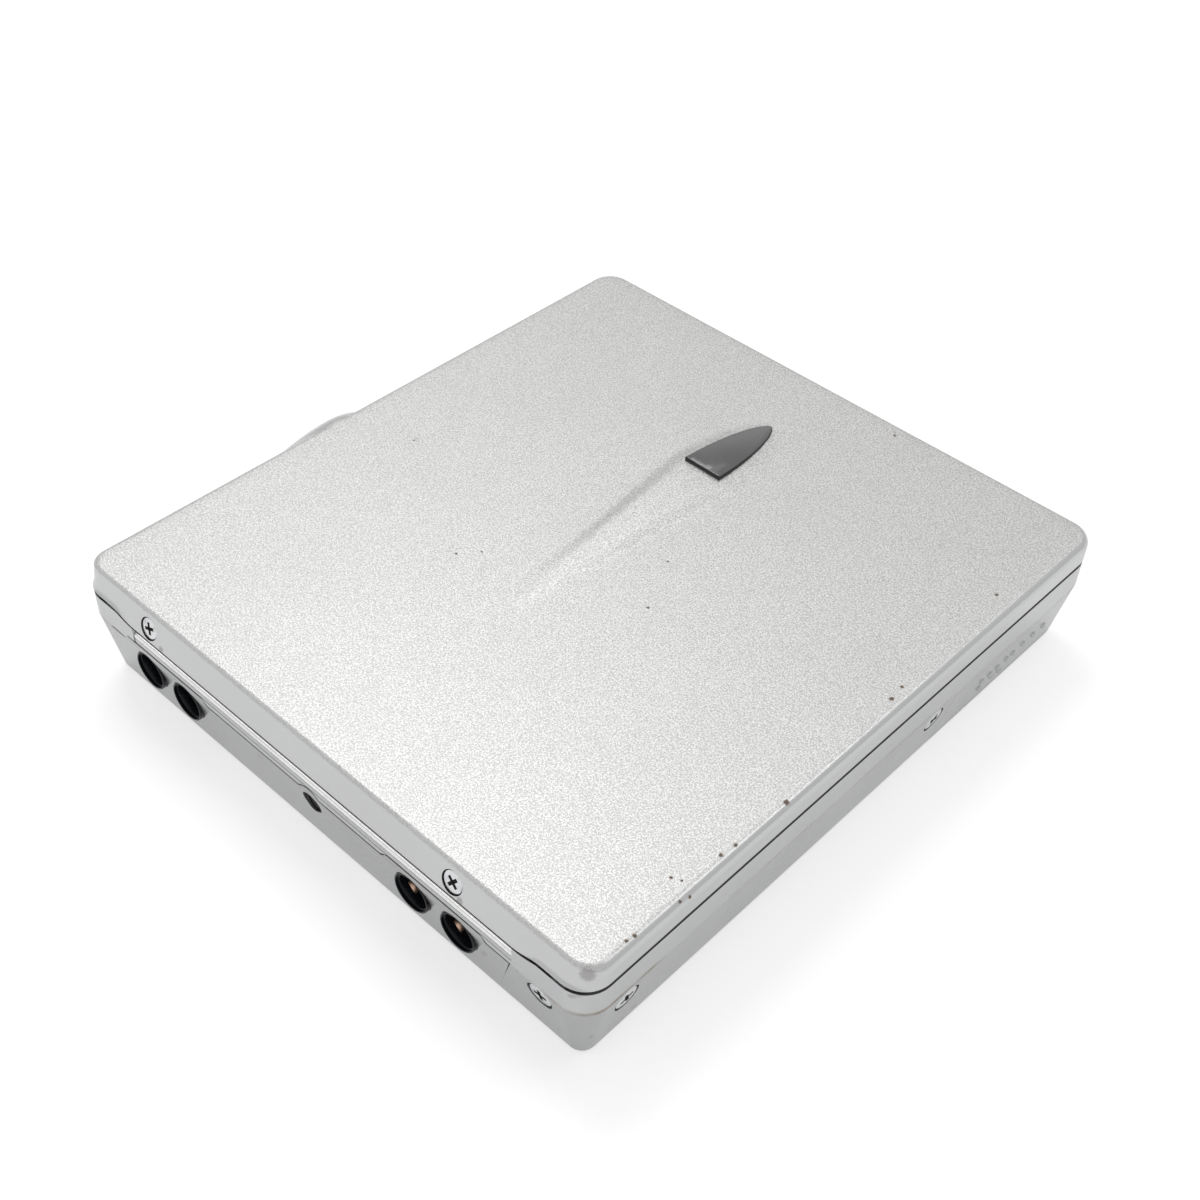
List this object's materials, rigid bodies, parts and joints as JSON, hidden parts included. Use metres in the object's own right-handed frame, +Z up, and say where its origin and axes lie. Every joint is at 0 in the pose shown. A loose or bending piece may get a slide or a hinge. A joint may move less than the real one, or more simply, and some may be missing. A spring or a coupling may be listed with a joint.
{
  "type": "portable minidisc player",
  "caption": "Flat clamshell disc player: hinged lid and disc holder over a tapered base with jack sockets, keys, a sliding battery door and a spindle drive with a pickup sled.",
  "frame": {"origin": "middle of the underside, on the surface it lies on", "axes": "+Z up, -Y towards the hinge and the jacks, +Y towards the opening edge, +X towards the battery door, -X towards the keys"},
  "size_m": [0.0747, 0.0809, 0.0156],
  "materials": {
    "lid_paint": "fine-grained silver paint, satin",
    "frame_paint": "silver paint, satin",
    "base_paint": "silver-grey paint, satin",
    "bright_strip": "bright",
    "window": "smoked, half gloss",
    "steel": "plated sheet",
    "screw_steel": "turned",
    "black_plastic": "gloss",
    "dark_plastic": "matte",
    "copper": "plated copper alloy",
    "brass": "turned",
    "contact_metal": "plated spring alloy",
    "board": "solder-masked laminate",
    "chip": "moulded black",
    "capacitor": "plain can",
    "switch_plastic": "moulded white",
    "key_plastic": "metallized",
    "rubber": "matte",
    "magnet": "plated",
    "sled_metal": "die cast",
    "lens": "coated"
  },
  "bodies": {
    "base": {"mid_frame": "frame_paint", "hinge_strip": "bright_strip", "hinge_pins": "screw_steel", "lower_shell": "base_paint", "jack_panel": "base_paint", "side_pod": "frame_paint", "case_screws": "screw_steel", "jack_left_outer": "black_plastic", "jack_left_inner": "black_plastic", "jack_right_inner": "black_plastic", "jack_right_outer": "black_plastic", "jack_contacts": "copper", "threaded_insert": "brass", "main_board": "board", "board_chips": "chip", "board_capacitors": "capacitor", "key_board": "board", "key_switches": "switch_plastic", "mech_chassis": "steel", "chassis_dampers": "rubber", "chassis_screws": "screw_steel", "spindle_motor": "steel", "guide_rods": "screw_steel", "sled_motor": "steel", "battery_tray": "dark_plastic", "battery_contact": "contact_metal"},
    "lid": {"lid_shell": "lid_paint", "lid_window": "window", "lid_bracket": "steel", "lid_screws": "screw_steel", "lid_hook": "steel"},
    "carrier": {"disc_carrier": "steel", "carrier_springs": "contact_metal"},
    "door": {"battery_door": "base_paint", "door_contact": "contact_metal"},
    "latch": {"open_knob": "key_plastic", "latch_bar": "steel"},
    "hold": {"hold_knob": "key_plastic"},
    "volume_down": {"volume_down_key": "key_plastic"},
    "volume_up": {"volume_up_key": "key_plastic"},
    "play": {"play_key": "key_plastic"},
    "stop": {"stop_key": "key_plastic"},
    "skip_back": {"skip_back_key": "key_plastic"},
    "skip_forward": {"skip_forward_key": "key_plastic"},
    "table": {"turntable": "black_plastic", "hub_magnet": "magnet"},
    "sled": {"pickup_sled": "sled_metal", "sled_nut": "switch_plastic", "lens_mount": "chip", "objective_lens": "lens"},
    "screw": {"lead_screw": "screw_steel"}
  },
  "joints": [
    {"name": "lid_hinge", "type": "hinge", "parent": "base", "child": "lid", "pos_m": [0, -0.0385, 0.012], "axis": [1, 0, 0], "range_deg": [0, 40]},
    {"name": "carrier_hinge", "type": "hinge", "parent": "base", "child": "carrier", "pos_m": [0, -0.0385, 0.012], "axis": [1, 0, 0], "range_deg": [0, 24]},
    {"name": "door_slide", "type": "slide", "parent": "base", "child": "door", "axis": [0, 1, 0], "range_m": [0, 0.023]},
    {"name": "latch_slide", "type": "slide", "parent": "base", "child": "latch", "axis": [-1, 0, 0], "range_m": [0, 0.0025], "stiffness_N_per_m": 120},
    {"name": "hold_slide", "type": "slide", "parent": "base", "child": "hold", "axis": [1, 0, 0], "range_m": [0, 0.002]},
    {"name": "volume_down_press", "type": "slide", "parent": "base", "child": "volume_down", "axis": [1, 0, 0], "range_m": [0, 0.0005], "stiffness_N_per_m": 200},
    {"name": "volume_up_press", "type": "slide", "parent": "base", "child": "volume_up", "axis": [1, 0, 0], "range_m": [0, 0.0005], "stiffness_N_per_m": 200},
    {"name": "play_press", "type": "slide", "parent": "base", "child": "play", "axis": [1, 0, 0], "range_m": [0, 0.0005], "stiffness_N_per_m": 200},
    {"name": "stop_press", "type": "slide", "parent": "base", "child": "stop", "axis": [1, 0, 0], "range_m": [0, 0.0005], "stiffness_N_per_m": 200},
    {"name": "skip_back_press", "type": "slide", "parent": "base", "child": "skip_back", "axis": [1, 0, 0], "range_m": [0, 0.0005], "stiffness_N_per_m": 200},
    {"name": "skip_forward_press", "type": "slide", "parent": "base", "child": "skip_forward", "axis": [1, 0, 0], "range_m": [0, 0.0005], "stiffness_N_per_m": 200},
    {"name": "turntable_spin", "type": "hinge", "parent": "base", "child": "table", "pos_m": [0, 0.002, 0.006], "axis": [0, 0, 1], "continuous": true},
    {"name": "lead_screw_turn", "type": "hinge", "parent": "base", "child": "screw", "pos_m": [0.02, -0.0105, 0.0046], "axis": [1, 0, 0], "range_deg": [0, 1560]},
    {"name": "sled_slide", "type": "slide", "parent": "base", "child": "sled", "axis": [1, 0, 0], "range_m": [0, 0.013]}
  ],
  "couplings": [
    {"joint": "carrier_hinge", "follows": "lid_hinge", "ratio": 0.6},
    {"joint": "lead_screw_turn", "follows": "sled_slide", "rad_per_m": 2094.4}
  ]
}
